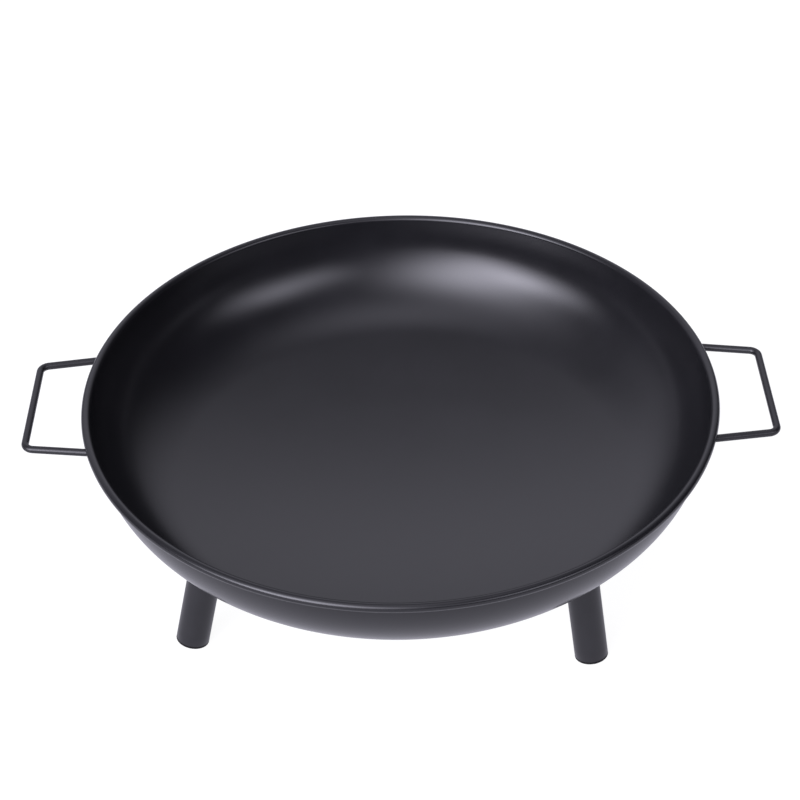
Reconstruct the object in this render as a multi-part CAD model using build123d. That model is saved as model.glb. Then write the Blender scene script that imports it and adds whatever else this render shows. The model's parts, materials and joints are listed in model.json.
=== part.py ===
from build123d import *
import os
from math import acos, atan2, cos, degrees, radians, sin, sqrt, tan

# A round pressed-steel hearth pan for an open coal fire: a shallow dished bowl with a
# rolled rim, two fixed wire handles and three splayed tube legs that screw on from below.
# Millimetres and degrees. The origin is on the ground under the middle of the bowl,
# +Z is up, +X points to the right-hand handle and -Y to the front.

# Driving dimensions: bowl
rim_diameter = 600.0          # over the rolled rim
overall_height = 230.0        # ground to the top of the rim
sheet = 1.2                   # thickness of the pressing
bead_diameter = 8.5           # over the rolled edge
curl_turn = 300.0             # how far the edge is rolled round
knuckle_radius = 95.0         # outside radius where the wall turns into the floor
crown_radius = 1060.0         # outside radius of the dished floor

# Driving dimensions: handles
handle_reach = 352.5          # middle of the bowl to the outermost face of a handle
bar_skew = 2.0                # how much further out the front end of a handle's bar lies
front_arm_offset = 62.5       # middle of the handle to the centre line of its front arm
back_arm_offset = 63.0
front_arm_flare = 7.2         # how far an arm opens out towards the bowl
back_arm_flare = 8.6
rod_diameter = 7.0
rod_bend_radius = 9.0         # centre-line radius of the two corners
rod_weld_leg = 2.6            # how far a weld climbs from the rod on to the wall
rod_weld_length = 4.5

# Driving dimensions: legs
stud_circle_diameter = 396.0  # where the three leg axes meet the underside
first_leg_azimuth = 205.0     # anticlockwise from +X
leg_leans = {"left": (13.5, 205.0), "right": (10.1, 315.0), "rear": (11.0, 85.0)}  # how far, which way
leg_diameter = 32.0
leg_wall = 1.5

# Driving dimensions: leg fixings
seat_thickness = 4.0          # at the leg axis
seat_weld_leg = 3.5
stud_diameter = 10.0
stud_bore_clearance = 0.05    # radial, in the threaded plug
washer_diameter = 30.0
washer_bore = 10.5
washer_thickness = 2.5
plug_thickness = 14.0
stud_overrun = 2.5            # stud end past the plug
press_gap = 0.05              # radial, for what is pressed or welded into the tube

# Driving dimensions: foot caps
cap_flange = 2.5
cap_edge_radius = 0.8
cap_depth = 12.0
cap_wall = 1.6
cap_rib_height = 0.6
cap_rib_count = 3

# Worked-out sizes
rim_radius = rim_diameter / 2
bead_radius = bead_diameter / 2
bead_level = overall_height - bead_radius
bead_centre_radius = rim_radius - bead_radius
wall_radius = rim_radius - bead_diameter + sheet
knuckle_centre_radius = wall_radius - knuckle_radius
crown_centre_level = bead_level + sqrt((crown_radius - knuckle_radius) ** 2 - knuckle_centre_radius ** 2)
crown_level = crown_centre_level - crown_radius
knuckle_angle = degrees(atan2(knuckle_centre_radius, crown_centre_level - bead_level))
rod_radius = rod_diameter / 2
handle_level = overall_height - bead_diameter - rod_radius
leg_radius = leg_diameter / 2
leg_bore_radius = leg_radius - leg_wall
stud_radius = stud_diameter / 2
leg_top = seat_thickness + washer_thickness
leg_azimuths = {name: first_leg_azimuth + 120 * i for i, name in enumerate(leg_leans)}


def polar(centre_r, centre_z, radius, angle):
    """A point of the bowl's section, on an arc about a centre, at an angle from +X."""
    return (centre_r + radius * cos(radians(angle)), centre_z + radius * sin(radians(angle)))


def section_arc(centre_r, centre_z, radius, start, end):
    """An arc of the bowl's section, from one angle to another."""
    points = [polar(centre_r, centre_z, radius, a) for a in (start, (start + end) / 2, end)]
    return ThreePointArc(*points)


def spun(profile):
    """Turn a section, drawn as (radius, height), into a body round the Z axis."""
    return revolve(Plane.XZ * profile, axis=Axis.Z)


def crown_and_knuckle(inset):
    """The floor and wall arcs of one face of the pressing, from the axis up to the bead."""
    turn = knuckle_angle - 90
    floor = section_arc(0, crown_centre_level, crown_radius - inset, -90, turn)
    wall = section_arc(knuckle_centre_radius, bead_level, knuckle_radius - inset, turn, 0)
    return floor, wall


def rim_curl(radius):
    """One face of the rolled edge: up from the wall, over the top and back underneath."""
    return section_arc(bead_centre_radius, bead_level, radius, 180, 180 - curl_turn)


def make_bowl_shell():
    """The one-piece pressing, with its edge rolled outwards."""
    outer_floor, outer_wall = crown_and_knuckle(0)
    inner_floor, inner_wall = crown_and_knuckle(sheet)
    curl_inside = rim_curl(bead_radius - sheet)
    curl_outside = rim_curl(bead_radius)
    middle = Line(outer_floor @ 0, inner_floor @ 0)
    curl_end = Line(curl_inside @ 1, curl_outside @ 1)
    edges = [outer_floor, outer_wall, curl_inside, curl_end, curl_outside, inner_wall, inner_floor, middle]
    return spun(make_face(edges))


def make_bowl_envelope():
    """The bowl filled in up to the bead, to fit other pieces against its outside."""
    outer_floor, outer_wall = crown_and_knuckle(0)
    top = Line(outer_wall @ 1, (0, bead_level))
    middle = Line((0, bead_level), outer_floor @ 0)
    return spun(make_face([outer_floor, outer_wall, top, middle]))


def make_bead_envelope():
    """The rolled edge as a full ring, to keep welds out of the curl."""
    return spun(Pos(bead_centre_radius, bead_level) * Circle(bead_radius))


def handle_corners(side):
    """Centre-line points of a handle, from its back end inside the wall to its front end."""
    front_x = handle_reach - rod_radius
    back_x = front_x - bar_skew
    inner_x = wall_radius - 2 * rod_diameter
    front_end = front_arm_offset + (front_x - inner_x) * tan(radians(front_arm_flare))
    back_end = back_arm_offset + (back_x - inner_x) * tan(radians(back_arm_flare))
    back = [(inner_x, back_end), (back_x, back_arm_offset)]
    front = [(front_x, -front_arm_offset), (inner_x, -front_end)]
    return [(side * x, y, handle_level) for x, y in back + front]


def make_handle(side, bowl):
    """One bent rod, its two ends coped to the wall just below the rolled edge."""
    points = handle_corners(side)
    path = FilletPolyline(*points, radius=rod_bend_radius)
    section = Plane(origin=path @ 0, z_dir=path % 0) * Circle(rod_radius)
    return sweep(section, path=path) - bowl


def make_handle_welds(bowl, bead):
    """The fillet weld round each end of the left-hand handle."""
    points = [Vector(*p) for p in handle_corners(-1)]
    centred = (Align.CENTER, Align.CENTER, Align.CENTER)
    standing = (Align.CENTER, Align.CENTER, Align.MIN)
    welds = []
    for end, corner in ((points[0], points[1]), (points[3], points[2])):
        arm = (corner - end).normalized()
        wall_x = sqrt(wall_radius ** 2 - end.Y ** 2)
        root = end + arm * ((wall_x - abs(end.X)) / abs(arm.X) - rod_weld_leg)
        height = rod_weld_length + rod_weld_leg
        collar = Cone(rod_radius + rod_weld_leg, rod_radius + 0.2, height, align=standing)
        rod = Cylinder(rod_radius, 3 * height, align=centred)
        weld = Plane(origin=root, z_dir=arm) * (collar - rod) - bead - bowl
        welds.append(weld.solids().sort_by(SortBy.VOLUME)[-1])
    return Compound(children=welds)


def underside_level(radius):
    """Height of the dished floor's underside at a distance from the middle."""
    return crown_centre_level - sqrt(crown_radius ** 2 - radius ** 2)


def leg_frame(name):
    """The plane at a leg's top: its origin is on the bowl's underside, its Z runs down the leg."""
    azimuth = radians(leg_azimuths[name])
    lean, heading = [radians(angle) for angle in leg_leans[name]]
    stud_circle_radius = stud_circle_diameter / 2
    outward = Vector(cos(azimuth), sin(azimuth), 0)
    origin = outward * stud_circle_radius + Vector(0, 0, underside_level(stud_circle_radius))
    down = Vector(cos(heading), sin(heading), 0) * sin(lean) - Vector(0, 0, cos(lean))
    across = Vector(-sin(heading), cos(heading), 0)
    return Plane(origin=origin, x_dir=across, z_dir=down)


def leg_reach(name):
    """Distance along a leg from the bowl to the face of its foot, so that the foot's edge
    just touches the ground."""
    lean = radians(leg_leans[name][0])
    edge_ring = leg_radius - cap_edge_radius
    foot_centre_level = edge_ring * sin(lean) + cap_edge_radius * (1 - cos(lean))
    top_level = underside_level(stud_circle_diameter / 2)
    return (top_level - foot_centre_level) / cos(lean)


def rod_from(start, length, radius):
    """A round bar along a leg's axis, from a distance below the bowl."""
    return Pos(0, 0, start) * Cylinder(radius, length, align=(Align.CENTER, Align.CENTER, Align.MIN))


def make_seat(frame, bowl):
    """The steel disc that gives the leg a flat seat, coped to the bowl's underside."""
    disc = rod_from(-seat_thickness, 2 * seat_thickness, leg_radius) - rod_from(-10, 20, stud_radius)
    return frame * disc - bowl


def make_seat_weld(frame, bowl):
    """The fillet weld that joins a seat to the bowl."""
    height = 2 * seat_weld_leg
    collar = Pos(0, 0, -seat_weld_leg) * Cone(
        leg_radius + 2 * seat_weld_leg, leg_radius, height, align=(Align.CENTER, Align.CENTER, Align.MIN)
    )
    ring = collar - rod_from(-10, 20, leg_radius)
    return frame * ring - bowl


def make_stud(frame, bowl):
    """The threaded stud, set in the seat and welded with it; the thread is left plain."""
    length = leg_top + plug_thickness + stud_overrun
    bar = rod_from(-seat_thickness, length + seat_thickness, stud_radius)
    tip = bar.edges().sort_by(Axis.Z)[-1]
    return frame * chamfer(tip, 1.0) - bowl


def make_washer():
    """The large flat washer between the seat and the end of the leg."""
    return rod_from(seat_thickness, washer_thickness, washer_diameter / 2) - rod_from(0, 20, washer_bore / 2)


def make_plug():
    """The thick threaded disc welded into the top of the tube, its thread left plain."""
    disc = rod_from(leg_top, plug_thickness, leg_bore_radius - press_gap)
    return disc - rod_from(0, 40, stud_radius + stud_bore_clearance)


def make_tube(reach):
    """The leg itself, a plain round tube cut square at both ends."""
    length = reach - leg_top - cap_flange
    return rod_from(leg_top, length, leg_radius) - rod_from(0, reach, leg_bore_radius)


def make_cap(reach):
    """The push-in cap on the foot: a flange with a ribbed, hollow spigot."""
    flange = rod_from(reach - cap_flange, cap_flange, leg_radius)
    flange = fillet(flange.edges().sort_by(Axis.Z)[-1], cap_edge_radius)
    rib_radius = leg_bore_radius - press_gap
    spigot_radius = rib_radius - cap_rib_height
    spigot_start = reach - cap_flange - cap_depth
    cap = flange + rod_from(spigot_start, cap_depth, spigot_radius)
    rib_pitch = cap_depth / cap_rib_count
    for i in range(cap_rib_count):
        cap += rod_from(spigot_start + (i + 0.25) * rib_pitch, rib_pitch / 4, rib_radius)
    return cap - rod_from(spigot_start, cap_depth, spigot_radius - cap_wall)


def save(name, shape):
    """Write one named piece."""
    export_step(shape, f"parts/{name}.step")


os.makedirs("parts", exist_ok=True)
bowl_envelope = make_bowl_envelope()
bead_envelope = make_bead_envelope()
save("bowl_shell", make_bowl_shell())
handle_welds = make_handle_welds(bowl_envelope, bead_envelope)
save("handle_left", make_handle(-1, bowl_envelope))
save("handle_right", make_handle(1, bowl_envelope))
save("handle_left_welds", handle_welds)
save("handle_right_welds", mirror(handle_welds, about=Plane.YZ))
for name in leg_leans:
    frame = leg_frame(name)
    reach = leg_reach(name)
    save(f"leg_seat_{name}", make_seat(frame, bowl_envelope))
    save(f"leg_seat_weld_{name}", make_seat_weld(frame, bowl_envelope))
    save(f"leg_stud_{name}", make_stud(frame, bowl_envelope))
    save(f"leg_washer_{name}", frame * make_washer())
    save(f"leg_plug_{name}", frame * make_plug())
    save(f"leg_tube_{name}", frame * make_tube(reach))
    save(f"foot_cap_{name}", frame * make_cap(reach))
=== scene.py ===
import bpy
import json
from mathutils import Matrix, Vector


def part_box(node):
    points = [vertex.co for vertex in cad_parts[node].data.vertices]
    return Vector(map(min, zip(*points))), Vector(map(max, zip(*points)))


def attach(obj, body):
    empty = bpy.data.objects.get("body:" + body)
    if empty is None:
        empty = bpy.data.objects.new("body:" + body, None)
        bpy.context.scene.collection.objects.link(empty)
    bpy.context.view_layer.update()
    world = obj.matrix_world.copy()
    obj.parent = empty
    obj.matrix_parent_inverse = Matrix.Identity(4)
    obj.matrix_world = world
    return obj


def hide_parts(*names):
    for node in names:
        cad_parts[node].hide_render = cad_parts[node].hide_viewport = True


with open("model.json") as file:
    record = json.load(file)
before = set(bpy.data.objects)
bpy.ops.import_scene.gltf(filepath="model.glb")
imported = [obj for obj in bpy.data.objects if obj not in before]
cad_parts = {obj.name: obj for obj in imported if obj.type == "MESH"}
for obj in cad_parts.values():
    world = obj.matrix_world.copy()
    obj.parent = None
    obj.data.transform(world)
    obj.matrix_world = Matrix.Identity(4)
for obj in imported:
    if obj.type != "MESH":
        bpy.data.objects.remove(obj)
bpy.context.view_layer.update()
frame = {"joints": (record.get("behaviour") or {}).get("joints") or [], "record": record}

import json
import math

import bmesh
import bpy
from mathutils import Matrix, Vector

# ---- Bowl -------------------------------------------------------------------------------
# One disc of 1.2 mm mild steel, pressed into a shallow dish and rolled outwards at the edge
# into a bead. Degreased and powder coated satin black after all the welding is done.
MM = 0.001
BOWL_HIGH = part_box("bowl_shell")[1]
RIM_RADIUS = min(BOWL_HIGH.x, BOWL_HIGH.y)
RIM_LEVEL = BOWL_HIGH.z
SHEET = 1.2 * MM
BEAD_RADIUS = 4.25 * MM
KNUCKLE_RADIUS = 95 * MM
CROWN_RADIUS = 1060 * MM
CURL_END = -112.0
BEAD_LEVEL = RIM_LEVEL - BEAD_RADIUS
BEAD_CENTRE = RIM_RADIUS - BEAD_RADIUS
WALL_RADIUS = RIM_RADIUS - 2 * BEAD_RADIUS + SHEET
KNUCKLE_CENTRE = WALL_RADIUS - KNUCKLE_RADIUS
CROWN_CENTRE = BEAD_LEVEL + math.sqrt((CROWN_RADIUS - KNUCKLE_RADIUS) ** 2 - KNUCKLE_CENTRE ** 2)
TURN = math.degrees(math.atan2(KNUCKLE_CENTRE, CROWN_CENTRE - BEAD_LEVEL)) - 90
BOWL_STEPS = 360
SPIN_PATH = 0.1


def add_node(tree, kind, at=(0, 0), **settings):
    """A node of a tree, with its properties set and its plain inputs filled in by name."""
    node = tree.nodes.new(kind)
    node.location = at
    for name, value in settings.items():
        if name in node.bl_rna.properties:
            setattr(node, name, value)
        else:
            node.inputs[name.replace("_", " ")].default_value = value
    return node


def arc_points(centre_r, centre_z, radius, start, end, steps):
    """Points (radius, height) of a section, along an arc given in degrees."""
    turns = [math.radians(start + (end - start) * i / steps) for i in range(steps + 1)]
    return [(centre_r + radius * math.cos(a), centre_z + radius * math.sin(a)) for a in turns]


def make_spun_section_tree():
    """Spins a section, drawn as a chain of edges, round the Z axis."""
    tree = bpy.data.node_groups.new("spun_section", "GeometryNodeTree")
    face = tree.interface
    face.new_socket("Section", in_out="INPUT", socket_type="NodeSocketGeometry")
    face.new_socket("Steps", in_out="INPUT", socket_type="NodeSocketInt")
    face.new_socket("Path Radius", in_out="INPUT", socket_type="NodeSocketFloat")
    face.new_socket("Finish", in_out="INPUT", socket_type="NodeSocketMaterial")
    face.new_socket("Geometry", in_out="OUTPUT", socket_type="NodeSocketGeometry")
    given = add_node(tree, "NodeGroupInput")
    chain = add_node(tree, "GeometryNodeMeshToCurve", (200, 0))
    path = add_node(tree, "GeometryNodeCurvePrimitiveCircle", (200, -200))
    sweep = add_node(tree, "GeometryNodeCurveToMesh", (400, 0))
    weld = add_node(tree, "GeometryNodeMergeByDistance", (600, 0), Distance=2e-6)
    real = add_node(tree, "GeometryNodeRealizeInstances", (800, 0))
    paint = add_node(tree, "GeometryNodeSetMaterial", (1000, 0))
    out = add_node(tree, "NodeGroupOutput", (1200, 0))
    link = tree.links.new
    link(given.outputs["Section"], chain.inputs[0])
    link(given.outputs["Steps"], path.inputs["Resolution"])
    link(given.outputs["Path Radius"], path.inputs["Radius"])
    link(path.outputs["Curve"], sweep.inputs["Curve"])
    link(chain.outputs[0], sweep.inputs["Profile Curve"])
    link(sweep.outputs["Mesh"], weld.inputs["Geometry"])
    link(weld.outputs["Geometry"], real.inputs["Geometry"])
    link(real.outputs["Geometry"], paint.inputs["Geometry"])
    link(given.outputs["Finish"], paint.inputs["Material"])
    link(paint.outputs["Geometry"], out.inputs["Geometry"])
    return tree


def run_tree(name, mesh, tree, finish, **sizes):
    """Runs a tree on a mesh and returns the plain mesh that comes out."""
    maker = bpy.data.objects.new(name + "_maker", mesh)
    bpy.context.scene.collection.objects.link(maker)
    modifier = maker.modifiers.new("shape", "NODES")
    modifier.node_group = tree
    sockets = {s.name: s.identifier for s in tree.interface.items_tree if s.in_out == "INPUT"}
    for key, value in dict(sizes, Finish=finish).items():
        modifier[sockets[key.replace("_", " ")]] = value
    bpy.context.view_layer.update()
    seen = maker.evaluated_get(bpy.context.evaluated_depsgraph_get())
    made = bpy.data.meshes.new_from_object(seen)
    maker.modifiers.remove(modifier)
    bpy.data.objects.remove(maker)
    bpy.data.meshes.remove(mesh)
    made.name = name
    return made


def finish_mesh(mesh, material, crease=32):
    """Faces outwards, smooth except at real corners, and one finish."""
    work = bmesh.new()
    work.from_mesh(mesh)
    if work.calc_volume(signed=True) < 0:
        bmesh.ops.reverse_faces(work, faces=work.faces[:])
    work.to_mesh(mesh)
    work.free()
    for face in mesh.polygons:
        face.use_smooth = True
    mesh.set_sharp_from_angle(angle=math.radians(crease))
    mesh.materials.clear()
    mesh.materials.append(material)


def spin(name, section, steps, material, closed=False, crease=32):
    """A body of revolution from its (radius, height) section."""
    chain = bpy.data.meshes.new(name + "_section")
    corners = [(r - SPIN_PATH, -z, 0) for r, z in section]
    edges = [(i, i + 1) for i in range(len(corners) - 1)]
    if closed:
        edges.append((len(corners) - 1, 0))
    chain.from_pydata(corners, edges, [])
    mesh = run_tree(name, chain, SPUN_SECTION, material, Steps=steps, Path_Radius=SPIN_PATH)
    finish_mesh(mesh, material, crease)
    return mesh


def place(name, mesh, body, nodes):
    """Puts a finished mesh in the scene, on its body and in the place of its CAD nodes."""
    piece = bpy.data.objects.new(name, mesh)
    bpy.context.scene.collection.objects.link(piece)
    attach(piece, body)
    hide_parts(*nodes)
    return piece


def start_surface_group(name, colors, sizes):
    """A surface group with its inputs, and its colour, roughness and height going out."""
    tree = bpy.data.node_groups.new(name, "ShaderNodeTree")
    face = tree.interface
    for label, grey in colors.items():
        socket = face.new_socket(label, in_out="INPUT", socket_type="NodeSocketColor")
        socket.default_value = (grey, grey, grey, 1)
    for label, value in sizes.items():
        socket = face.new_socket(label, in_out="INPUT", socket_type="NodeSocketFloat")
        socket.default_value = value
    for label, kind in (("Color", "Color"), ("Roughness", "Float"), ("Height", "Float")):
        face.new_socket(label, in_out="OUTPUT", socket_type="NodeSocket" + kind)
    given = add_node(tree, "NodeGroupInput", (-800, 0))
    out = add_node(tree, "NodeGroupOutput", (800, 0))
    where = add_node(tree, "ShaderNodeTexCoord", (-800, 300))
    return tree, given, out, where


def make_powder_coat_group():
    """Sprayed and baked powder: orange peel, faint cloudiness and a few dust nibs."""
    tree, given, out, where = start_surface_group("powder_coat", {"Coat Color": 0.02}, {
        "Peel Per Metre": 900.0, "Cloud Per Metre": 22.0, "Gloss Low": 0.3, "Gloss High": 0.36,
        "Nibs": 0.5,
    })
    peel = add_node(tree, "ShaderNodeTexNoise", (-400, 300), Detail=2.0, Roughness=0.55)
    cloud = add_node(tree, "ShaderNodeTexNoise", (-400, 0), Detail=4.0, Roughness=0.6)
    specks = add_node(tree, "ShaderNodeTexVoronoi", (-400, -300), Scale=260.0)
    speck = add_node(tree, "ShaderNodeMapRange", (-200, -300), To_Min=1.0, To_Max=0.0)
    speck.inputs["From Min"].default_value = 0.05
    speck.inputs["From Max"].default_value = 0.16
    chance = add_node(tree, "ShaderNodeSeparateColor", (-200, -500))
    few = add_node(tree, "ShaderNodeMath", (0, -500), operation="GREATER_THAN")
    few.inputs[1].default_value = 0.93
    both = add_node(tree, "ShaderNodeMath", (200, -300), operation="MULTIPLY")
    nib = add_node(tree, "ShaderNodeMath", (400, -300), operation="MULTIPLY")
    gloss = add_node(tree, "ShaderNodeMapRange", (0, 100))
    gloss.inputs["From Min"].default_value = 0.3
    gloss.inputs["From Max"].default_value = 0.7
    tone = add_node(tree, "ShaderNodeMapRange", (0, 300), To_Min=0.86, To_Max=1.16)
    tone.inputs["From Min"].default_value = 0.3
    tone.inputs["From Max"].default_value = 0.7
    shade = add_node(tree, "ShaderNodeVectorMath", (400, 300), operation="SCALE")
    high = add_node(tree, "ShaderNodeMath", (600, -100), operation="ADD")
    link = tree.links.new
    for texture in (peel, cloud, specks):
        link(where.outputs["Object"], texture.inputs["Vector"])
    link(given.outputs["Peel Per Metre"], peel.inputs["Scale"])
    link(given.outputs["Cloud Per Metre"], cloud.inputs["Scale"])
    link(specks.outputs["Distance"], speck.inputs["Value"])
    link(specks.outputs["Color"], chance.inputs["Color"])
    link(chance.outputs["Red"], few.inputs[0])
    link(speck.outputs["Result"], both.inputs[0])
    link(few.outputs[0], both.inputs[1])
    link(both.outputs[0], nib.inputs[0])
    link(given.outputs["Nibs"], nib.inputs[1])
    link(cloud.outputs["Fac"], gloss.inputs["Value"])
    link(given.outputs["Gloss Low"], gloss.inputs["To Min"])
    link(given.outputs["Gloss High"], gloss.inputs["To Max"])
    link(cloud.outputs["Fac"], tone.inputs["Value"])
    link(given.outputs["Coat Color"], shade.inputs[0])
    link(tone.outputs["Result"], shade.inputs["Scale"])
    link(peel.outputs["Fac"], high.inputs[0])
    link(nib.outputs[0], high.inputs[1])
    link(shade.outputs["Vector"], out.inputs["Color"])
    link(gloss.outputs["Result"], out.inputs["Roughness"])
    link(high.outputs[0], out.inputs["Height"])
    return tree


def surfaced_material(name, group, metallic, bump_mm, ior=1.5, **values):
    """A material whose colour, roughness and relief come from one surface group."""
    material = bpy.data.materials.new(name)
    material.use_nodes = True
    tree = material.node_tree
    shader = tree.nodes["Principled BSDF"]
    shader.inputs["Metallic"].default_value = metallic
    shader.inputs["IOR"].default_value = ior
    surface = add_node(tree, "ShaderNodeGroup", (-600, 200))
    surface.node_tree = group
    for key, value in values.items():
        surface.inputs[key.replace("_", " ")].default_value = value
    bump = add_node(tree, "ShaderNodeBump", (-300, -100), Distance=bump_mm * MM, Strength=1.0)
    link = tree.links.new
    link(surface.outputs["Color"], shader.inputs["Base Color"])
    link(surface.outputs["Roughness"], shader.inputs["Roughness"])
    link(surface.outputs["Height"], bump.inputs["Height"])
    link(bump.outputs["Normal"], shader.inputs["Normal"])
    return material


SPUN_SECTION = make_spun_section_tree()
POWDER_COAT = make_powder_coat_group()
COAT_BLACK = (0.0090, 0.0089, 0.0103, 1)
bowl_coat = surfaced_material(
    "bowl_satin_black_coat", POWDER_COAT, 0.0, 0.010, Coat_Color=COAT_BLACK,
    Peel_Per_Metre=620.0, Cloud_Per_Metre=14.0, Gloss_Low=0.19, Gloss_High=0.23, Nibs=0.5,
)

curl_lip = BEAD_RADIUS - SHEET / 2
lip_turn = math.radians(CURL_END)
bowl_section = arc_points(0, CROWN_CENTRE, CROWN_RADIUS, -90, TURN, 26)
bowl_section += arc_points(KNUCKLE_CENTRE, BEAD_LEVEL, KNUCKLE_RADIUS, TURN, 0, 30)[1:]
bowl_section += arc_points(BEAD_CENTRE, BEAD_LEVEL, BEAD_RADIUS - SHEET, 180, CURL_END, 26)[1:]
bowl_section += arc_points(
    BEAD_CENTRE + curl_lip * math.cos(lip_turn), BEAD_LEVEL + curl_lip * math.sin(lip_turn),
    SHEET / 2, CURL_END - 180, CURL_END - 360, 8,
)[1:-1]
bowl_section += arc_points(BEAD_CENTRE, BEAD_LEVEL, BEAD_RADIUS, CURL_END, 180, 40)
bowl_section += arc_points(KNUCKLE_CENTRE, BEAD_LEVEL, KNUCKLE_RADIUS - SHEET, 0, TURN, 30)[1:]
bowl_section += arc_points(0, CROWN_CENTRE, CROWN_RADIUS - SHEET, TURN, -90, 26)[1:]
bowl_section[0] = (0.0, bowl_section[0][1])
bowl_section[-1] = (0.0, bowl_section[-1][1])
place(
    "bowl_pressing", spin("bowl_pressing", bowl_section, BOWL_STEPS, bowl_coat, crease=60),
    "root", ["bowl_shell"],
)

# ---- Handles ----------------------------------------------------------------------------
# Two lengths of 7 mm round bar, each bent twice in a jig. They lie level under the rolled
# edge, and their ends are cut to sit against the wall, then fillet welded all round.
ROD_RADIUS = 3.5 * MM
ROD_BEND = 9 * MM
ROD_SIDES = 36
BAR_SKEW = 2.0 * MM
BACK_ARM = (63.0 * MM, math.tan(math.radians(8.6)))
FRONT_ARM = (62.5 * MM, math.tan(math.radians(7.2)))
ROD_LEVEL = RIM_LEVEL - 2 * BEAD_RADIUS - ROD_RADIUS


def wall_radius_at(level):
    """Outside radius of the bowl's wall at a height, between the bead and the knuckle's foot."""
    return KNUCKLE_CENTRE + math.sqrt(KNUCKLE_RADIUS ** 2 - (BEAD_LEVEL - level) ** 2)


def slide_to_wall(point, along):
    """How far a point travels along a direction until it meets the outside of the wall."""
    travel = 0.0
    for _ in range(12):
        now = point + along * travel
        gap = math.hypot(now.x, now.y) - wall_radius_at(now.z)
        travel -= gap / ((now.x * along.x + now.y * along.y) / math.hypot(now.x, now.y))
    return travel


def make_bent_rod_tree():
    """Bends a chain of straight runs at its corners and makes a round bar of it."""
    tree = bpy.data.node_groups.new("bent_rod", "GeometryNodeTree")
    face = tree.interface
    face.new_socket("Runs", in_out="INPUT", socket_type="NodeSocketGeometry")
    face.new_socket("Bend Radius", in_out="INPUT", socket_type="NodeSocketFloat")
    face.new_socket("Bar Radius", in_out="INPUT", socket_type="NodeSocketFloat")
    face.new_socket("Sides", in_out="INPUT", socket_type="NodeSocketInt")
    face.new_socket("Finish", in_out="INPUT", socket_type="NodeSocketMaterial")
    face.new_socket("Geometry", in_out="OUTPUT", socket_type="NodeSocketGeometry")
    given = add_node(tree, "NodeGroupInput")
    chain = add_node(tree, "GeometryNodeMeshToCurve", (200, 0))
    bend = add_node(tree, "GeometryNodeFilletCurve", (400, 0))
    if "mode" in bend.bl_rna.properties:
        bend.mode = "POLY"
    else:
        bend.inputs["Mode"].default_value = "Poly"
    bend.inputs["Count"].default_value = 14
    bar = add_node(tree, "GeometryNodeCurvePrimitiveCircle", (400, -200))
    sweep = add_node(tree, "GeometryNodeCurveToMesh", (600, 0))
    sweep.inputs["Fill Caps"].default_value = True
    real = add_node(tree, "GeometryNodeRealizeInstances", (800, 0))
    paint = add_node(tree, "GeometryNodeSetMaterial", (1000, 0))
    out = add_node(tree, "NodeGroupOutput", (1200, 0))
    link = tree.links.new
    link(given.outputs["Runs"], chain.inputs[0])
    link(chain.outputs[0], bend.inputs["Curve"])
    link(given.outputs["Bend Radius"], bend.inputs["Radius"])
    link(given.outputs["Bar Radius"], bar.inputs["Radius"])
    link(given.outputs["Sides"], bar.inputs["Resolution"])
    link(bend.outputs["Curve"], sweep.inputs["Curve"])
    link(bar.outputs["Curve"], sweep.inputs["Profile Curve"])
    link(sweep.outputs["Mesh"], real.inputs["Geometry"])
    link(real.outputs["Geometry"], paint.inputs["Geometry"])
    link(given.outputs["Finish"], paint.inputs["Material"])
    link(paint.outputs["Geometry"], out.inputs["Geometry"])
    return tree


def handle_runs(side, bar_x):
    """Corners of a handle's centre line, its two ends on the wall."""
    arms = []
    for hand, (offset, flare), reach_x in ((1, BACK_ARM, bar_x - BAR_SKEW), (-1, FRONT_ARM, bar_x)):
        corner = Vector((side * reach_x, hand * offset, ROD_LEVEL))
        inward = Vector((-side, hand * flare, 0)).normalized()
        start = corner + inward * (reach_x - WALL_RADIUS)
        arms.append((corner, inward, start + inward * slide_to_wall(start, inward)))
    return arms


def make_handle_rod(name, arms, material):
    """The bent bar, with each end face shaped to the wall it stands against."""
    chain = bpy.data.meshes.new(name + "_runs")
    corners = [arms[0][2], arms[0][0], arms[1][0], arms[1][2]]
    chain.from_pydata([tuple(c) for c in corners], [(0, 1), (1, 2), (2, 3)], [])
    mesh = run_tree(
        name, chain, BENT_ROD, material, Bend_Radius=ROD_BEND, Bar_Radius=ROD_RADIUS, Sides=ROD_SIDES
    )
    for vertex in mesh.vertices:
        for _, inward, end in arms:
            if (vertex.co - end).length < 1.05 * ROD_RADIUS:
                vertex.co += inward * slide_to_wall(vertex.co, inward)
    finish_mesh(mesh, material, 50)
    return mesh


BENT_ROD = make_bent_rod_tree()
rod_coat = surfaced_material(
    "handle_satin_black_coat", POWDER_COAT, 0.0, 0.008, Coat_Color=COAT_BLACK,
    Peel_Per_Metre=1100.0, Cloud_Per_Metre=45.0, Gloss_Low=0.26, Gloss_High=0.34, Nibs=0.4,
)
handle_arms = {}
for name, side in (("left", -1), ("right", 1)):
    low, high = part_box(f"handle_{name}")
    reach = max(abs(low.x), abs(high.x))
    handle_arms[name] = handle_runs(side, reach - ROD_RADIUS)
    rod = make_handle_rod(f"handle_rod_{name}", handle_arms[name], rod_coat)
    place(f"handle_rod_{name}", rod, "root", [f"handle_{name}"])

# ---- Handle welds -----------------------------------------------------------------------
# A small fillet of weld metal laid round each end of a handle by hand, in overlapping
# ripples. There is less of it on top, where the rolled edge leaves the torch no room.
ROD_WELD_LEG = 2.5 * MM
ROD_WELD_RIPPLES = 17
WELD_ACROSS = 7
WELD_SWELL = 0.26
RIPPLE_STEPS = 6
BEAD_SHARE = 0.9


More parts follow.
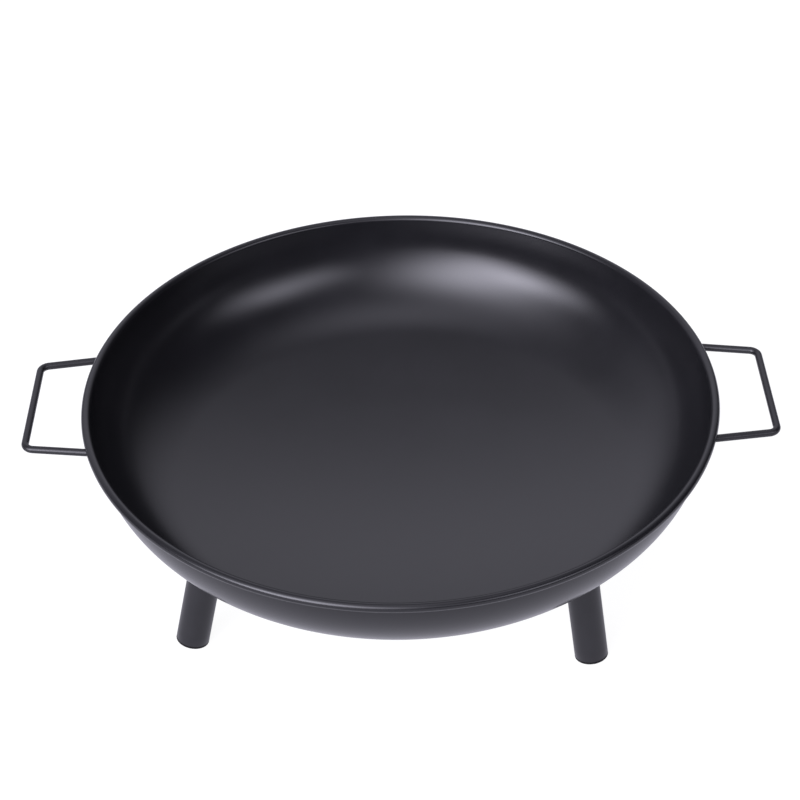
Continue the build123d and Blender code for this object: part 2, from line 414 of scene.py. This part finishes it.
def weld_ring(name, centre, along, radius, meet, legs, ripples, depth, material):
    """A rippled fillet round a bar. along points to the wall, and meet says how far a point has
    to travel that way to reach it. legs gives the two legs at a turn round the bar."""
    side = along.orthogonal().normalized()
    up = Vector((0, 0, 1))
    if abs(along.z) < 0.9:
        side = up.cross(along).normalized()
    over = along.cross(side).normalized()
    around = ripples * RIPPLE_STEPS
    vertices, faces = [], []
    for i in range(around):
        turn = 2 * math.pi * i / around
        out = side * math.cos(turn) + over * math.sin(turn)
        on_wall, on_bar = legs(turn)
        phase = i / RIPPLE_STEPS + 0.22 * math.sin(3 * turn) + 0.13 * math.sin(7 * turn)
        ripple = 1 - depth * abs(math.sin(math.pi * phase)) ** 3
        root = centre + out * radius
        root += along * meet(root)
        reached = BEAD_SHARE + (1 - BEAD_SHARE) * ripple
        toe = centre + out * (radius + on_wall * reached)
        toe += along * meet(toe)
        shoulder = root - along * on_bar * reached
        ring = [root]
        for k in range(WELD_ACROSS + 1):
            share = k / WELD_ACROSS
            line = toe.lerp(shoulder, share)
            swell = WELD_SWELL * math.sin(math.pi * share) * min(on_wall, on_bar) * ripple
            ring.append(line + (out - along).normalized() * swell)
        vertices += ring
    size = WELD_ACROSS + 2
    for i in range(around):
        j = (i + 1) % around
        for k in range(size):
            n = (k + 1) % size
            faces.append((i * size + k, i * size + n, j * size + n, j * size + k))
    mesh = bpy.data.meshes.new(name)
    mesh.from_pydata([tuple(v) for v in vertices], [], faces)
    mesh.validate()
    finish_mesh(mesh, material, 70)
    return mesh


def join_meshes(name, meshes, material):
    """Several closed shells as one piece."""
    work = bmesh.new()
    for mesh in meshes:
        work.from_mesh(mesh)
    joined = bpy.data.meshes.new(name)
    work.to_mesh(joined)
    work.free()
    for mesh in meshes:
        bpy.data.meshes.remove(mesh)
    joined.materials.clear()
    joined.materials.append(material)
    return joined


def handle_weld_legs(turn):
    """Legs of the handle's fillet: full below and at the sides, cramped under the bead."""
    cramped = 1 - 0.72 * max(0.0, math.sin(turn)) ** 1.5
    uneven = 1 + 0.07 * math.sin(2 * turn + 0.6) + 0.05 * math.sin(5 * turn)
    return ROD_WELD_LEG * cramped * uneven, 1.5 * ROD_WELD_LEG * cramped * uneven


weld_coat = surfaced_material(
    "weld_satin_black_coat", POWDER_COAT, 0.0, 0.020, Coat_Color=COAT_BLACK,
    Peel_Per_Metre=900.0, Cloud_Per_Metre=90.0, Gloss_Low=0.30, Gloss_High=0.42, Nibs=0.9,
)
for name, arms in handle_arms.items():
    rings = []
    for number, (_, inward, end) in enumerate(arms):
        rings.append(weld_ring(
            f"handle_weld_{name}_{number}", end, inward, ROD_RADIUS,
            lambda point, way=inward: slide_to_wall(point, way),
            handle_weld_legs, ROD_WELD_RIPPLES, 0.45, weld_coat,
        ))
    welds = join_meshes(f"handle_weld_beads_{name}", rings, weld_coat)
    place(f"handle_weld_beads_{name}", welds, "root", [f"handle_{name}_welds"])

# ---- Leg seats --------------------------------------------------------------------------
# Three turned steel discs, 32 mm across, shaped on top to the dished floor. Each gives its
# leg a flat face to pull up against, and is drilled for the stud before it is welded on.
LEGS = ("left", "right", "rear")
LEG_RADIUS = 16 * MM
SEAT_THICKNESS = 4 * MM
SEAT_EDGE = 0.5 * MM
STUD_RADIUS = 5 * MM
ROUND_STEPS = 96


def leg_frames():
    """For each leg: its frame, origin on the bowl's underside and Z down the leg, and its length."""
    joints = {joint["name"]: joint for joint in frame["joints"]}
    mounts = {mount["name"]: mount for mount in frame["record"]["mounts"]}
    frames = {}
    for leg in LEGS:
        joint = joints[f"leg_{leg}_unscrew"]
        origin = Vector(joint["pos_m"])
        down = Vector(joint["axis"]).normalized()
        across = Vector((-down.y, down.x, 0)).normalized()
        turned = Matrix((across, down.cross(across), down)).transposed().to_4x4()
        foot = Vector(mounts[f"foot_{leg}"]["pos_m"])
        frames[leg] = (Matrix.Translation(origin) @ turned, (foot - origin).length)
    return frames


def slide_to_underside(point, along):
    """How far a point travels along a direction until it meets the underside of the floor."""
    travel = 0.0
    for _ in range(12):
        now = point + along * travel - Vector((0, 0, CROWN_CENTRE))
        travel -= (now.length - CROWN_RADIUS) / (now.dot(along) / now.length)
    return travel


LEG_FRAMES = leg_frames()
seat_coat = surfaced_material(
    "seat_satin_black_coat", POWDER_COAT, 0.0, 0.010, Coat_Color=COAT_BLACK,
    Peel_Per_Metre=1000.0, Cloud_Per_Metre=60.0, Gloss_Low=0.30, Gloss_High=0.38, Nibs=0.6,
)
for leg in LEGS:
    place_of, _ = LEG_FRAMES[leg]
    section = [(STUD_RADIUS, -MM), (LEG_RADIUS, -MM)]
    section += arc_points(LEG_RADIUS - SEAT_EDGE, SEAT_THICKNESS - SEAT_EDGE, SEAT_EDGE, 0, 90, 4)
    section += [(STUD_RADIUS + SEAT_EDGE, SEAT_THICKNESS), (STUD_RADIUS, SEAT_THICKNESS - SEAT_EDGE)]
    seat = spin(f"leg_seat_disc_{leg}", section, ROUND_STEPS, seat_coat, closed=True)
    up = -(place_of.to_3x3() @ Vector((0, 0, 1)))
    tops = [v.index for v in seat.vertices if v.co.z < 0]
    seat.transform(place_of)
    for index in tops:
        seat.vertices[index].co += up * slide_to_underside(seat.vertices[index].co, up)
    place(f"leg_seat_disc_{leg}", seat, "root", [f"leg_seat_{leg}"])

# ---- Leg seat welds ---------------------------------------------------------------------
# One run of fillet weld round each seat, about 3.5 mm in the leg, laid with the bowl upside
# down, so its ripples are even. It is coated over with the rest.
SEAT_WELD_LEG = 3.3 * MM
SEAT_WELD_RIPPLES = 46


def seat_weld_legs(turn):
    """Legs of a seat's fillet, a little uneven as a hand-laid run is."""
    uneven = 1 + 0.05 * math.sin(2 * turn + 1.1) + 0.035 * math.sin(9 * turn)
    return SEAT_WELD_LEG * uneven, 0.82 * SEAT_WELD_LEG * uneven


for leg in LEGS:
    place_of, _ = LEG_FRAMES[leg]
    up = -(place_of.to_3x3() @ Vector((0, 0, 1)))
    centre = place_of @ Vector((0, 0, 2 * MM))
    weld = weld_ring(
        f"leg_seat_bead_{leg}", centre, up, LEG_RADIUS,
        lambda point, way=up: slide_to_underside(point, way),
        seat_weld_legs, SEAT_WELD_RIPPLES, 0.5, weld_coat,
    )
    place(f"leg_seat_bead_{leg}", weld, "root", [f"leg_seat_weld_{leg}"])

# ---- Studs ------------------------------------------------------------------------------
# M10 studs, cut from zinc-plated threaded bar, pressed into the seats and welded in with
# them. They stop short of the bowl, so nothing shows inside it.
THREAD_PITCH = 1.5 * MM
THREAD_DEPTH = 0.8 * MM
THREAD_STEPS = 8
STUD_SIDES = 48
STUD_LENGTH = 23 * MM
STUD_TIP = 1.0 * MM
CREST_SHARE = 0.06
FLANK_SHARE = 0.80


def make_stud(name, material):
    """Threaded bar: a single-start helix, with the thread running out at the chamfered tip."""
    rows = int(STUD_LENGTH / THREAD_PITCH * THREAD_STEPS) + 1
    vertices = [(0, 0, 0)]
    for row in range(rows + 1):
        z = STUD_LENGTH * row / rows
        cap = STUD_RADIUS - max(0.0, z - (STUD_LENGTH - STUD_TIP))
        for side in range(STUD_SIDES):
            turn = side / STUD_SIDES
            phase = (z / THREAD_PITCH - turn) % 1.0
            rise = min(1.0, max(0.0, (abs(2 * phase - 1) - CREST_SHARE) / FLANK_SHARE))
            r = min(STUD_RADIUS - THREAD_DEPTH * (1 - rise), cap)
            vertices.append((r * math.cos(2 * math.pi * turn), r * math.sin(2 * math.pi * turn), z))
    vertices.append((0, 0, STUD_LENGTH))
    last = len(vertices) - 1
    faces = []
    for side in range(STUD_SIDES):
        nxt = (side + 1) % STUD_SIDES
        faces.append((0, 1 + nxt, 1 + side))
        faces.append((last, last - STUD_SIDES + side, last - STUD_SIDES + nxt))
        for row in range(rows):
            a = 1 + row * STUD_SIDES
            faces.append((a + side, a + nxt, a + STUD_SIDES + nxt, a + STUD_SIDES + side))
    mesh = bpy.data.meshes.new(name)
    mesh.from_pydata(vertices, [], faces)
    finish_mesh(mesh, material, 40)
    return mesh


def make_plate_group():
    """Plated or machined metal: cloudy plating, fine scratches and small bright rubs."""
    tree, given, out, where = start_surface_group(
        "bare_metal", {"Metal Color": 0.5, "Dull Color": 0.3}, {
            "Cloud Per Metre": 160.0, "Scratch Per Metre": 1500.0, "Gloss Low": 0.25,
            "Gloss High": 0.45,
        },
    )
    stretch = add_node(tree, "ShaderNodeMapping", (-600, 300))
    stretch.inputs["Scale"].default_value = (1.0, 0.12, 1.0)
    cloud = add_node(tree, "ShaderNodeTexNoise", (-400, 0), Detail=5.0, Roughness=0.65)
    scratch = add_node(tree, "ShaderNodeTexNoise", (-400, 300), Detail=3.0, Roughness=0.7)
    ramp = add_node(tree, "ShaderNodeMapRange", (-100, 0))
    ramp.inputs["From Min"].default_value = 0.35
    ramp.inputs["From Max"].default_value = 0.65
    mix = add_node(tree, "ShaderNodeMix", (200, 200), data_type="RGBA")
    gloss = add_node(tree, "ShaderNodeMapRange", (200, -100))
    gloss.inputs["From Min"].default_value = 0.3
    gloss.inputs["From Max"].default_value = 0.7
    link = tree.links.new
    link(where.outputs["Object"], cloud.inputs["Vector"])
    link(where.outputs["Object"], stretch.inputs["Vector"])
    link(stretch.outputs["Vector"], scratch.inputs["Vector"])
    link(given.outputs["Cloud Per Metre"], cloud.inputs["Scale"])
    link(given.outputs["Scratch Per Metre"], scratch.inputs["Scale"])
    link(cloud.outputs["Fac"], ramp.inputs["Value"])
    link(ramp.outputs["Result"], mix.inputs["Factor"])
    link(given.outputs["Metal Color"], mix.inputs[6])
    link(given.outputs["Dull Color"], mix.inputs[7])
    link(scratch.outputs["Fac"], gloss.inputs["Value"])
    link(given.outputs["Gloss Low"], gloss.inputs["To Min"])
    link(given.outputs["Gloss High"], gloss.inputs["To Max"])
    link(mix.outputs[2], out.inputs["Color"])
    link(gloss.outputs["Result"], out.inputs["Roughness"])
    link(scratch.outputs["Fac"], out.inputs["Height"])
    return tree


BARE_METAL = make_plate_group()
stud_zinc = surfaced_material(
    "stud_zinc_plate", BARE_METAL, 1.0, 0.006, Metal_Color=(0.56, 0.55, 0.52, 1),
    Dull_Color=(0.36, 0.35, 0.32, 1), Cloud_Per_Metre=300.0, Scratch_Per_Metre=1800.0,
    Gloss_Low=0.26, Gloss_High=0.46,
)
for leg in LEGS:
    place_of, _ = LEG_FRAMES[leg]
    stud = make_stud(f"leg_stud_bar_{leg}", stud_zinc)
    stud.transform(place_of)
    place(f"leg_stud_bar_{leg}", stud, "root", [f"leg_stud_{leg}"])

# ---- Washers ----------------------------------------------------------------------------
# Large M10 washers, 30 mm across and bright zinc plated. They are stamped, so one face has
# a rolled-over edge and the other a sharper one. They spread the pull of the stud.
WASHER_THICKNESS = 2.5 * MM
WASHER_BORE = 5.25 * MM
WASHER_RADIUS = 15 * MM
ROLLED_EDGE = 0.6 * MM
SHARP_EDGE = 0.15 * MM
washer_zinc = surfaced_material(
    "washer_zinc_plate", BARE_METAL, 1.0, 0.004, Metal_Color=(0.62, 0.62, 0.60, 1),
    Dull_Color=(0.44, 0.44, 0.42, 1), Cloud_Per_Metre=180.0, Scratch_Per_Metre=1400.0,
    Gloss_Low=0.20, Gloss_High=0.36,
)
for leg in LEGS:
    place_of, _ = LEG_FRAMES[leg]
    bottom = SEAT_THICKNESS + WASHER_THICKNESS
    rolled_level = SEAT_THICKNESS + ROLLED_EDGE
    sharp_level = bottom - SHARP_EDGE
    section = arc_points(WASHER_BORE + ROLLED_EDGE, rolled_level, ROLLED_EDGE, 180, 270, 5)
    section += arc_points(WASHER_RADIUS - ROLLED_EDGE, rolled_level, ROLLED_EDGE, 270, 360, 5)
    section += arc_points(WASHER_RADIUS - SHARP_EDGE, sharp_level, SHARP_EDGE, 0, 90, 2)
    section += arc_points(WASHER_BORE + SHARP_EDGE, sharp_level, SHARP_EDGE, 90, 180, 2)
    washer = spin(f"washer_disc_{leg}", section, ROUND_STEPS, washer_zinc, closed=True)
    washer.transform(place_of)
    place(f"washer_disc_{leg}", washer, f"washer_{leg}", [f"leg_washer_{leg}"])

# ---- Leg plugs --------------------------------------------------------------------------
# A 14 mm thick turned steel disc, tapped M10, welded flush into the top of each tube. Its
# face is left bare, because the coat would keep the leg from pulling up square.
LEG_TOP = SEAT_THICKNESS + WASHER_THICKNESS
PLUG_THICKNESS = 14 * MM
PLUG_RADIUS = 14.45 * MM
PLUG_BORE = 5.05 * MM
PLUG_MOUTH = 0.9 * MM
PLUG_LIP = 0.5 * MM
plug_steel = surfaced_material(
    "plug_turned_steel", BARE_METAL, 1.0, 0.006, Metal_Color=(0.42, 0.41, 0.39, 1),
    Dull_Color=(0.24, 0.22, 0.20, 1), Cloud_Per_Metre=220.0, Scratch_Per_Metre=1600.0,
    Gloss_Low=0.28, Gloss_High=0.5,
)
for leg in LEGS:
    place_of, _ = LEG_FRAMES[leg]
    top = LEG_TOP
    bottom = top + PLUG_THICKNESS
    section = [(PLUG_BORE, top + PLUG_MOUTH), (PLUG_BORE + PLUG_MOUTH, top)]
    section += [(PLUG_RADIUS - PLUG_LIP, top), (PLUG_RADIUS, top + PLUG_LIP)]
    section += [(PLUG_RADIUS, bottom - PLUG_LIP), (PLUG_RADIUS - PLUG_LIP, bottom)]
    section += [(PLUG_BORE + PLUG_MOUTH, bottom), (PLUG_BORE, bottom - PLUG_MOUTH)]
    plug = spin(f"leg_plug_disc_{leg}", section, ROUND_STEPS, plug_steel, closed=True)
    plug.transform(place_of)
    place(f"leg_plug_disc_{leg}", plug, f"leg_{leg}", [f"leg_plug_{leg}"])

# ---- Leg tubes --------------------------------------------------------------------------
# Plain 32 x 1.5 mm round steel tube, sawn square and deburred at both ends, coated satin
# black like the bowl. The legs lean outwards, no two quite alike.
TUBE_BORE = 14.5 * MM
CAP_FLANGE = 2.5 * MM
DEBURR = 0.3 * MM
LEG_STEPS = 144
LEG_BANDS = 12
leg_coat = surfaced_material(
    "leg_satin_black_coat", POWDER_COAT, 0.0, 0.009, Coat_Color=COAT_BLACK,
    Peel_Per_Metre=850.0, Cloud_Per_Metre=40.0, Gloss_Low=0.30, Gloss_High=0.36, Nibs=0.5,
)
for leg in LEGS:
    place_of, reach = LEG_FRAMES[leg]
    foot = reach - CAP_FLANGE
    section = arc_points(TUBE_BORE + DEBURR, LEG_TOP + DEBURR, DEBURR, 180, 270, 3)
    section += arc_points(LEG_RADIUS - DEBURR, LEG_TOP + DEBURR, DEBURR, 270, 360, 3)
    rise = (foot - LEG_TOP) / LEG_BANDS
    section += [(LEG_RADIUS, LEG_TOP + rise * i) for i in range(1, LEG_BANDS)]
    section += arc_points(LEG_RADIUS - DEBURR, foot - DEBURR, DEBURR, 0, 90, 3)
    section += arc_points(TUBE_BORE + DEBURR, foot - DEBURR, DEBURR, 90, 180, 3)
    tube = spin(f"leg_tube_{leg}_visual", section, LEG_STEPS, leg_coat, closed=True)
    tube.transform(place_of)
    place(f"leg_round_tube_{leg}", tube, f"leg_{leg}", [f"leg_tube_{leg}"])

# ---- Foot caps --------------------------------------------------------------------------
# Moulded black polyethylene caps, pushed into the tubes and held by three ribs. The face
# has a shallow round recess with the mould's gate mark in its middle.
CAP_EDGE = 0.8 * MM
CAP_DEPTH = 12 * MM
RIB_RADIUS = 14.45 * MM
SPIGOT_RADIUS = 13.85 * MM
SPIGOT_BORE = 12.25 * MM
CAP_RIBS = 3


def make_moulded_group():
    """Moulded plastic: a fine etched grain, flow clouding and rubbed high spots."""
    tree, given, out, where = start_surface_group("moulded_plastic", {"Plastic Color": 0.01}, {
        "Grain Per Metre": 2600.0, "Flow Per Metre": 120.0,
    })
    grain = add_node(tree, "ShaderNodeTexNoise", (-400, 300), Detail=2.0)
    flow = add_node(tree, "ShaderNodeTexNoise", (-400, 0), Detail=3.0)
    tone = add_node(tree, "ShaderNodeMapRange", (-100, 200), To_Min=0.75, To_Max=1.35)
    shade = add_node(tree, "ShaderNodeVectorMath", (200, 200), operation="SCALE")
    gloss = add_node(tree, "ShaderNodeMapRange", (-100, -100), To_Min=0.42, To_Max=0.62)
    link = tree.links.new
    link(where.outputs["Object"], grain.inputs["Vector"])
    link(where.outputs["Object"], flow.inputs["Vector"])
    link(given.outputs["Grain Per Metre"], grain.inputs["Scale"])
    link(given.outputs["Flow Per Metre"], flow.inputs["Scale"])
    link(flow.outputs["Fac"], tone.inputs["Value"])
    link(flow.outputs["Fac"], gloss.inputs["Value"])
    link(given.outputs["Plastic Color"], shade.inputs[0])
    link(tone.outputs["Result"], shade.inputs["Scale"])
    link(shade.outputs["Vector"], out.inputs["Color"])
    link(gloss.outputs["Result"], out.inputs["Roughness"])
    link(grain.outputs["Fac"], out.inputs["Height"])
    return tree


def cap_section(reach):
    """Half the cap's section, from the middle of its face round to the middle of its inside."""
    recess, pip = 0.6 * MM, 0.35 * MM
    section = [(0.0, reach - recess + pip), (0.9 * MM, reach - recess + pip)]
    section += [(1.3 * MM, reach - recess), (8.2 * MM, reach - recess), (9.0 * MM, reach)]
    section += arc_points(LEG_RADIUS - CAP_EDGE, reach - CAP_EDGE, CAP_EDGE, 90, 0, 7)
    flange = reach - CAP_FLANGE
    start = flange - CAP_DEPTH
    section += [(LEG_RADIUS, flange), (SPIGOT_RADIUS, flange)]
    rib = CAP_DEPTH / CAP_RIBS
    for i in reversed(range(CAP_RIBS)):
        low = start + (i + 0.25) * rib
        high = low + rib / 4
        section += [(SPIGOT_RADIUS, high + 0.1 * MM), (RIB_RADIUS, high)]
        section += [(RIB_RADIUS, low), (SPIGOT_RADIUS, low - 0.1 * MM)]
    section += [(SPIGOT_RADIUS, start), (SPIGOT_BORE, start), (SPIGOT_BORE, flange), (0.0, flange)]
    return section


MOULDED_PLASTIC = make_moulded_group()
cap_plastic = surfaced_material(
    "cap_black_polyethylene", MOULDED_PLASTIC, 0.0, 0.012, ior=1.33,
    Plastic_Color=(0.004, 0.004, 0.004, 1), Grain_Per_Metre=2600.0, Flow_Per_Metre=120.0,
)
for leg in LEGS:
    place_of, reach = LEG_FRAMES[leg]
    cap = spin(f"foot_cap_moulding_{leg}", cap_section(reach), LEG_STEPS, cap_plastic)
    cap.transform(place_of)
    place(f"foot_cap_moulding_{leg}", cap, f"leg_{leg}", [f"foot_cap_{leg}"])

# ---- Floor and light --------------------------------------------------------------------
# A white sweep under soft glows: a broad one high behind the bowl, a strong softbox at the
# front left, a smaller one at the front right. The floor keeps only a trace of shadow.
FLOOR_SIZE = 14.0
FLOOR_GREY = 0.16
FLOOR_SEEN = 0.93
FLOOR_BOUNCE = 0.61
LIGHT_TINT = (1.0, 0.985, 1.135, 1)
# Azimuth, elevation, how sharply the glow falls off, and its strength
GLOWS = (
    (0, 88, 14.0, 1.08), (60, 32, 14.0, 0.44), (90, 32, 14.0, 0.74), (120, 32, 14.0, 0.6),
    (150, 20, 14.0, 0.44), (205, 18, 60.0, 2.64), (210, 58, 14.0, 0.82), (221, 22, 60.0, 6.34),
    (237, 16, 60.0, 2.6), (240, 32, 14.0, 7.52), (300, 28, 60.0, 2.06), (318, 30, 60.0, 3.04),
    (332, 23, 60.0, 1.4),
)


def point_towards(azimuth, elevation):
    """A unit vector at an azimuth from +X and an elevation, in degrees."""
    a, e = math.radians(azimuth), math.radians(elevation)
    return Vector((math.cos(e) * math.cos(a), math.cos(e) * math.sin(a), math.sin(e)))


half = FLOOR_SIZE / 2
floor_mesh = bpy.data.meshes.new("floor")
corners = [(-half, -half, 0), (half, -half, 0), (half, half, 0), (-half, half, 0)]
floor_mesh.from_pydata(corners, [], [(0, 1, 2, 3)])
floor = bpy.data.objects.new("floor", floor_mesh)
bpy.context.scene.collection.objects.link(floor)
floor_white = bpy.data.materials.new("floor_white")
floor_white.use_nodes = True
tree = floor_white.node_tree
tree.nodes.clear()
matt = add_node(tree, "ShaderNodeBsdfDiffuse", (-200, 200))
matt.inputs["Color"].default_value = (FLOOR_GREY, FLOOR_GREY, FLOOR_GREY, 1)
bounced = add_node(tree, "ShaderNodeEmission", (-400, 0), Strength=FLOOR_BOUNCE)
bounced.inputs["Color"].default_value = LIGHT_TINT
seen_white = add_node(tree, "ShaderNodeEmission", (-400, -200), Strength=FLOOR_SEEN)
looked_at = add_node(tree, "ShaderNodeLightPath", (-600, 200))
which = add_node(tree, "ShaderNodeMixShader", (-200, -100))
both = add_node(tree, "ShaderNodeAddShader", (0, 0))
out = add_node(tree, "ShaderNodeOutputMaterial", (200, 0))
tree.links.new(looked_at.outputs["Is Camera Ray"], which.inputs[0])
tree.links.new(bounced.outputs[0], which.inputs[1])
tree.links.new(seen_white.outputs[0], which.inputs[2])
tree.links.new(matt.outputs[0], both.inputs[0])
tree.links.new(which.outputs[0], both.inputs[1])
tree.links.new(both.outputs[0], out.inputs["Surface"])
floor_mesh.materials.append(floor_white)

room = bpy.data.worlds.new("studio")
room.use_nodes = True
tree = room.node_tree
tree.nodes.clear()
where = add_node(tree, "ShaderNodeTexCoord", (-1200, 0))
total = None
for number, (azimuth, elevation, spread, strength) in enumerate(GLOWS):
    row = -180 * number
    facing = add_node(tree, "ShaderNodeVectorMath", (-1000, row), operation="DOT_PRODUCT")
    facing.inputs[1].default_value = point_towards(azimuth, elevation)
    off = add_node(tree, "ShaderNodeMath", (-800, row), operation="MULTIPLY_ADD")
    off.inputs[1].default_value = spread
    off.inputs[2].default_value = math.log(strength) - spread
    glow = add_node(tree, "ShaderNodeMath", (-600, row), operation="EXPONENT")
    tree.links.new(where.outputs["Generated"], facing.inputs[0])
    tree.links.new(facing.outputs["Value"], off.inputs[0])
    tree.links.new(off.outputs[0], glow.inputs[0])
    if total is None:
        total = glow
        continue
    added = add_node(tree, "ShaderNodeMath", (-400, row), operation="ADD")
    tree.links.new(total.outputs[0], added.inputs[0])
    tree.links.new(glow.outputs[0], added.inputs[1])
    total = added
lit = add_node(tree, "ShaderNodeBackground", (-100, 100))
lit.inputs["Color"].default_value = LIGHT_TINT
plain = add_node(tree, "ShaderNodeBackground", (-100, -100))
plain.inputs["Color"].default_value = (1, 1, 1, 1)
looked_at = add_node(tree, "ShaderNodeLightPath", (-300, 400))
choose = add_node(tree, "ShaderNodeMixShader", (100, 0))
out = add_node(tree, "ShaderNodeOutputWorld", (300, 0))
tree.links.new(total.outputs[0], lit.inputs["Strength"])
tree.links.new(looked_at.outputs["Is Camera Ray"], choose.inputs["Fac"])
tree.links.new(lit.outputs[0], choose.inputs[1])
tree.links.new(plain.outputs[0], choose.inputs[2])
tree.links.new(choose.outputs[0], out.inputs["Surface"])
bpy.context.scene.world = room

# ---- Camera -----------------------------------------------------------------------------
# A long lens on a stand, 2.1 m from the rim and 38 degrees above it, tilted a touch.
CAMERA_PITCH = math.radians(38.0)
CAMERA_ROLL = -0.0226517
CAMERA_DISTANCE = 2.13716
CAMERA_LENS = 101.93
AIM_ACROSS = -0.00005
AIM_UP = -0.01045
ahead = Vector((0, math.cos(CAMERA_PITCH), -math.sin(CAMERA_PITCH)))
level_up = Vector((0, math.sin(CAMERA_PITCH), math.cos(CAMERA_PITCH)))
right = Vector((1, 0, 0)) * math.cos(CAMERA_ROLL) + level_up * math.sin(CAMERA_ROLL)
above = level_up * math.cos(CAMERA_ROLL) - Vector((1, 0, 0)) * math.sin(CAMERA_ROLL)
camera_data = bpy.data.cameras.new("camera")
camera_data.lens = CAMERA_LENS
camera_data.sensor_width = 36.0
camera_data.clip_end = 50.0
camera = bpy.data.objects.new("camera", camera_data)
bpy.context.scene.collection.objects.link(camera)
stand = Vector((0, 0, RIM_LEVEL)) - right * AIM_ACROSS + above * AIM_UP - ahead * CAMERA_DISTANCE
turned = Matrix((right, above, -ahead)).transposed().to_4x4()
camera.matrix_world = Matrix.Translation(stand) @ turned
bpy.context.scene.camera = camera
bpy.context.scene.view_settings.view_transform = "Standard"
